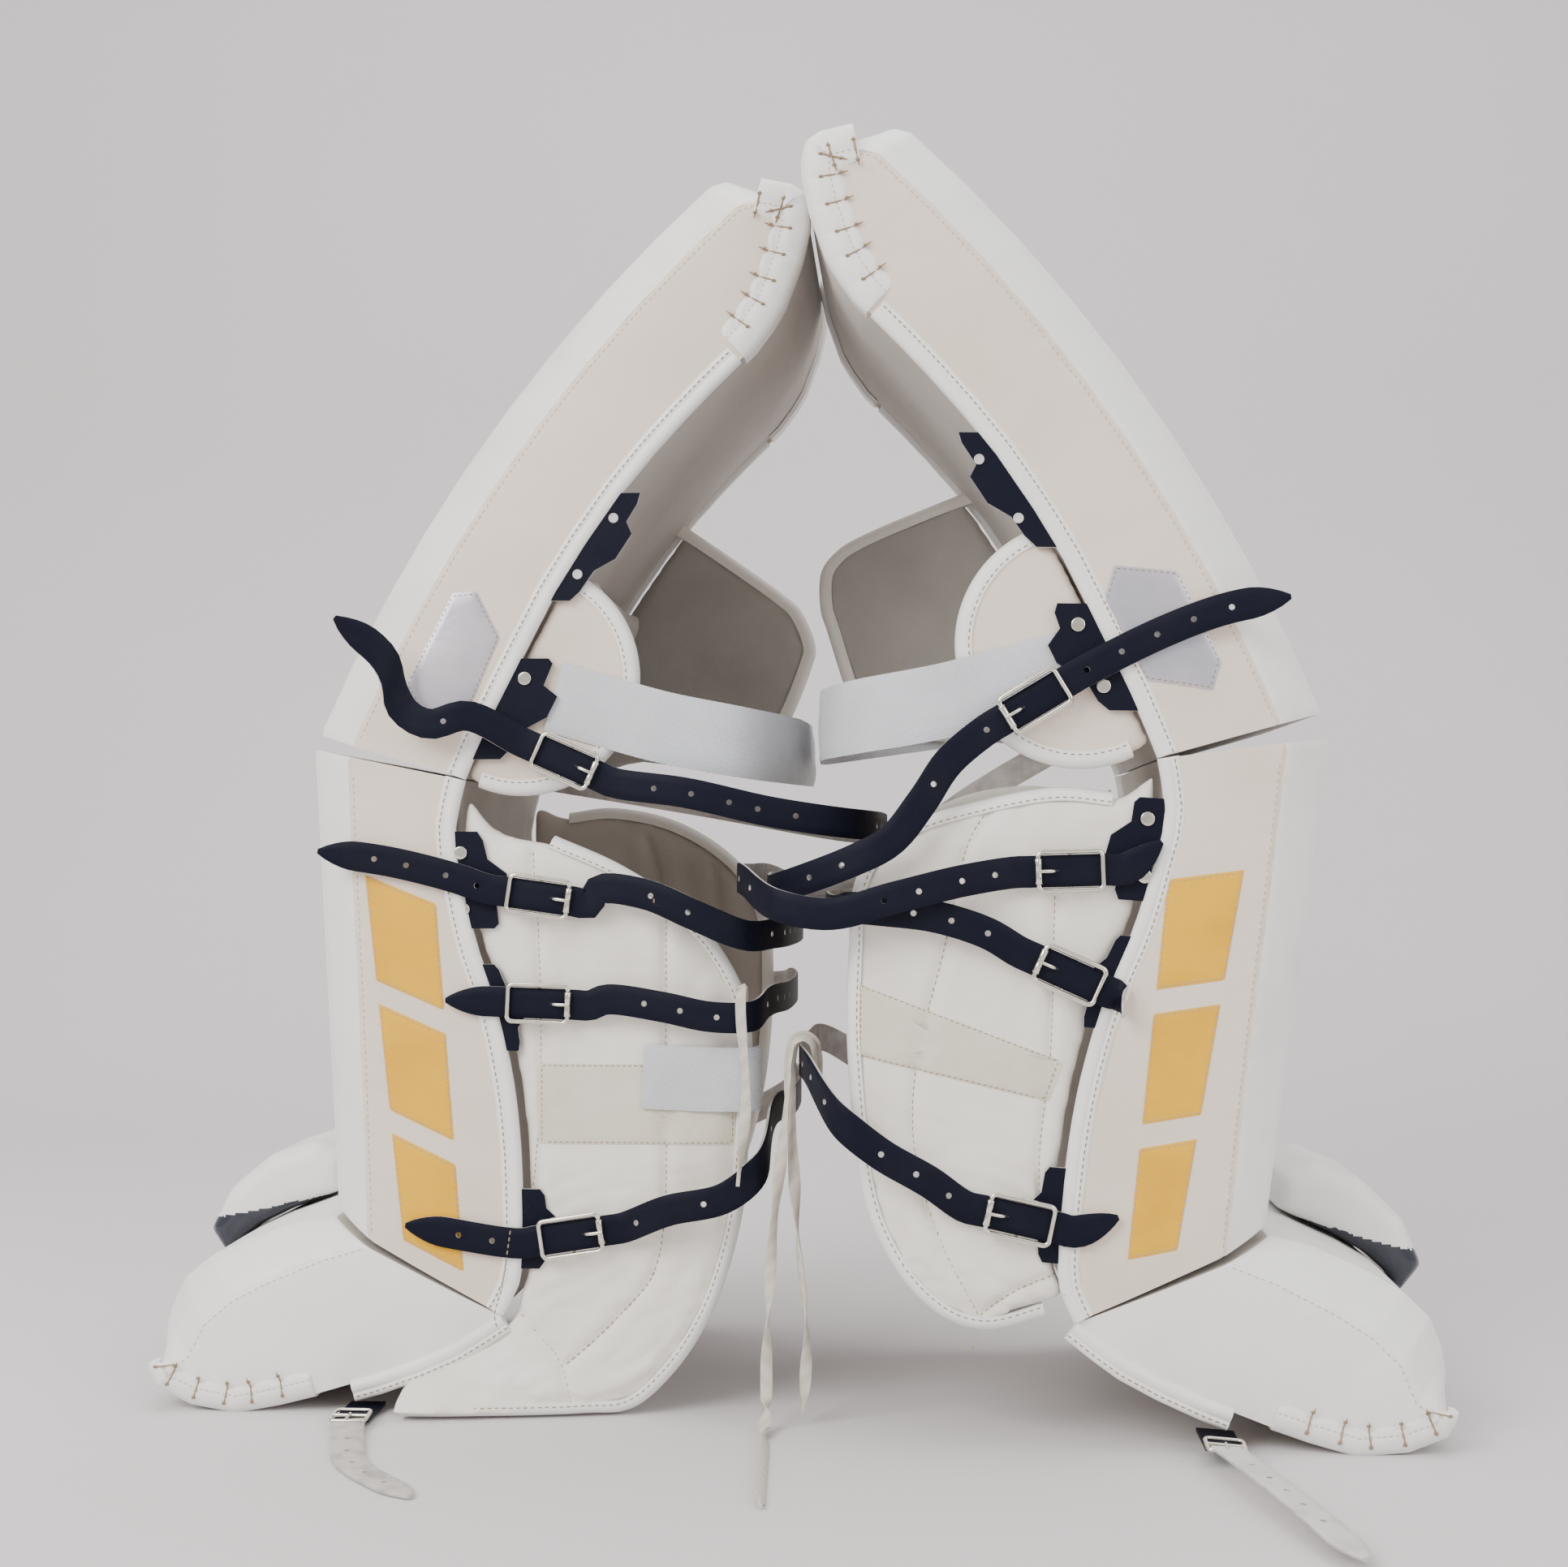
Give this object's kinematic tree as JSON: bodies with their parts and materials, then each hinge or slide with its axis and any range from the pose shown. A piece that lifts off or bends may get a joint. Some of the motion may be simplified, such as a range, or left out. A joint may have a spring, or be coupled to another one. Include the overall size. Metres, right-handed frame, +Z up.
{
  "type": "ice hockey goalie leg pads",
  "caption": "Goalie leg pads with hinged knee and boot breaks, calf and knee wings, buckled leather straps, elastic bands and laces.",
  "frame": {"origin": "on the floor, under the middle of the pair", "axes": "+X from the left pad to the right pad, +Y from the buckled outer sides to the inner sides, +Z up"},
  "size_m": [0.8208, 0.5692, 0.7991],
  "materials": {
    "cream_nylon": "cream nylon side panels with white synthetic leather fronts, edges and end caps",
    "white_leather": "smooth white synthetic leather",
    "foam_core": "layered high-density foam",
    "quilted_nylon": "padded off-white nylon with sewn channels and hook-and-loop patches",
    "grey_liner": "matt grey liner cloth with cream binding",
    "navy_leather": "black-navy coated leather with pale cut edges",
    "navy_guard": "padded white leather guard with a dark glossy band",
    "pale_leather": "undyed pale grey leather",
    "elastic_webbing": "blue-white woven elastic",
    "nickel_hardware": "polished nickel plate",
    "lace_weave": "flat woven lace with a dark tracer"
  },
  "bodies": {
    "shins": {"left_shin_cover": "cream_nylon", "left_shin_core": "foam_core", "left_calf_tab": "navy_leather", "left_shin_tab": "navy_leather", "left_ankle_tab": "navy_leather", "left_calf_strap": "navy_leather", "left_shin_strap": "navy_leather", "left_ankle_strap": "navy_leather", "left_calf_buckle": "nickel_hardware", "left_shin_buckle": "nickel_hardware", "left_ankle_buckle": "nickel_hardware", "left_lace": "lace_weave", "right_shin_cover": "cream_nylon", "right_shin_core": "foam_core", "right_calf_tab": "navy_leather", "right_shin_tab": "navy_leather", "right_ankle_tab": "navy_leather", "right_calf_strap": "navy_leather", "right_shin_strap": "navy_leather", "right_ankle_strap": "navy_leather", "right_calf_buckle": "nickel_hardware", "right_shin_buckle": "nickel_hardware", "right_ankle_buckle": "nickel_hardware", "right_lace": "lace_weave", "right_lace_tail": "lace_weave"},
    "left_thigh": {"left_thigh_cover": "cream_nylon", "left_thigh_core": "foam_core", "left_knee_cradle": "quilted_nylon", "left_thigh_tab": "navy_leather", "left_knee_tab": "navy_leather", "left_knee_strap": "navy_leather", "left_knee_buckle": "nickel_hardware", "left_elastic_knee_band": "elastic_webbing"},
    "left_boot": {"left_boot_cover": "white_leather", "left_boot_core": "foam_core", "left_boot_guard": "navy_guard", "left_toe_tab": "navy_leather"},
    "left_toe_strap": {"left_toe_strap": "pale_leather"},
    "left_outer_calf_wing": {"left_outer_calf_wing": "quilted_nylon", "left_elastic_calf_strap": "elastic_webbing"},
    "left_inner_calf_wing": {"left_inner_calf_wing": "quilted_nylon"},
    "left_outer_knee_wing": {"left_outer_knee_wing": "quilted_nylon"},
    "left_inner_knee_wing": {"left_inner_knee_wing": "grey_liner"},
    "right_thigh": {"right_thigh_cover": "cream_nylon", "right_thigh_core": "foam_core", "right_knee_cradle": "quilted_nylon", "right_thigh_tab": "navy_leather", "right_knee_tab": "navy_leather", "right_knee_strap": "navy_leather", "right_knee_buckle": "nickel_hardware", "right_elastic_knee_band": "elastic_webbing"},
    "right_boot": {"right_boot_cover": "white_leather", "right_boot_core": "foam_core", "right_boot_guard": "navy_guard", "right_toe_tab": "navy_leather"},
    "right_toe_strap": {"right_toe_strap": "pale_leather"},
    "right_outer_calf_wing": {"right_outer_calf_wing": "quilted_nylon"},
    "right_inner_calf_wing": {"right_inner_calf_wing": "quilted_nylon"},
    "right_outer_knee_wing": {"right_outer_knee_wing": "quilted_nylon"},
    "right_inner_knee_wing": {"right_inner_knee_wing": "grey_liner"}
  },
  "joints": [
    {"name": "left_knee_flex", "type": "hinge", "parent": "shins", "child": "left_thigh", "pos_m": [-0.20363, 0.13219, 0.39774], "axis": [0, -1, 0], "range_deg": [0, 4]},
    {"name": "left_boot_flex", "type": "hinge", "parent": "shins", "child": "left_boot", "pos_m": [-0.17768, 0.13219, 0.06202], "axis": [0, -1, 0], "range_deg": [0, 6]},
    {"name": "left_outer_calf_wing", "type": "hinge", "parent": "shins", "child": "left_outer_calf_wing", "pos_m": [-0.18452, 0.01119, 0.25666], "axis": [-0.1445, 0, 0.9895], "range_deg": [0, 20]},
    {"name": "left_inner_calf_wing", "type": "hinge", "parent": "shins", "child": "left_inner_calf_wing", "pos_m": [-0.18452, 0.25319, 0.25666], "axis": [0.1445, 0, -0.9895], "range_deg": [0, 20]},
    {"name": "left_outer_knee_wing", "type": "hinge", "parent": "left_thigh", "child": "left_outer_knee_wing", "pos_m": [-0.16989, 0.00719, 0.46491], "axis": [0.4456, 0, 0.8952], "range_deg": [0, 20]},
    {"name": "left_inner_knee_wing", "type": "hinge", "parent": "left_thigh", "child": "left_inner_knee_wing", "pos_m": [-0.14699, 0.25719, 0.49729], "axis": [-0.4935, 0, -0.8698], "range_deg": [0, 20]},
    {"name": "left_toe_strap_lift", "type": "hinge", "parent": "left_boot", "child": "left_toe_strap", "pos_m": [-0.26426, -0.04031, 0.004], "axis": [-1, 0, 0], "range_deg": [0, 60]},
    {"name": "right_knee_flex", "type": "hinge", "parent": "shins", "child": "right_thigh", "pos_m": [0.22732, 0.07219, 0.40728], "axis": [0, 1, 0], "range_deg": [0, 1]},
    {"name": "right_boot_flex", "type": "hinge", "parent": "shins", "child": "right_boot", "pos_m": [0.17626, 0.07219, 0.07444], "axis": [0, 1, 0], "range_deg": [0, 15]},
    {"name": "right_outer_calf_wing", "type": "hinge", "parent": "shins", "child": "right_outer_calf_wing", "pos_m": [0.19767, -0.04881, 0.26802], "axis": [-0.2183, 0, -0.9759], "range_deg": [0, 20]},
    {"name": "right_inner_calf_wing", "type": "hinge", "parent": "shins", "child": "right_inner_calf_wing", "pos_m": [0.19767, 0.19319, 0.26802], "axis": [0.2183, 0, 0.9759], "range_deg": [0, 20]},
    {"name": "right_outer_knee_wing", "type": "hinge", "parent": "right_thigh", "child": "right_outer_knee_wing", "pos_m": [0.19487, -0.05281, 0.47508], "axis": [0.4283, 0, -0.9036], "range_deg": [0, 20]},
    {"name": "right_inner_knee_wing", "type": "hinge", "parent": "right_thigh", "child": "right_inner_knee_wing", "pos_m": [0.17259, 0.19719, 0.50789], "axis": [-0.4767, 0, 0.8791], "range_deg": [0, 20]},
    {"name": "right_toe_strap_lift", "type": "hinge", "parent": "right_boot", "child": "right_toe_strap", "pos_m": [0.25825, -0.10031, 0.01009], "axis": [-1, 0, 0], "range_deg": [0, 60]}
  ]
}
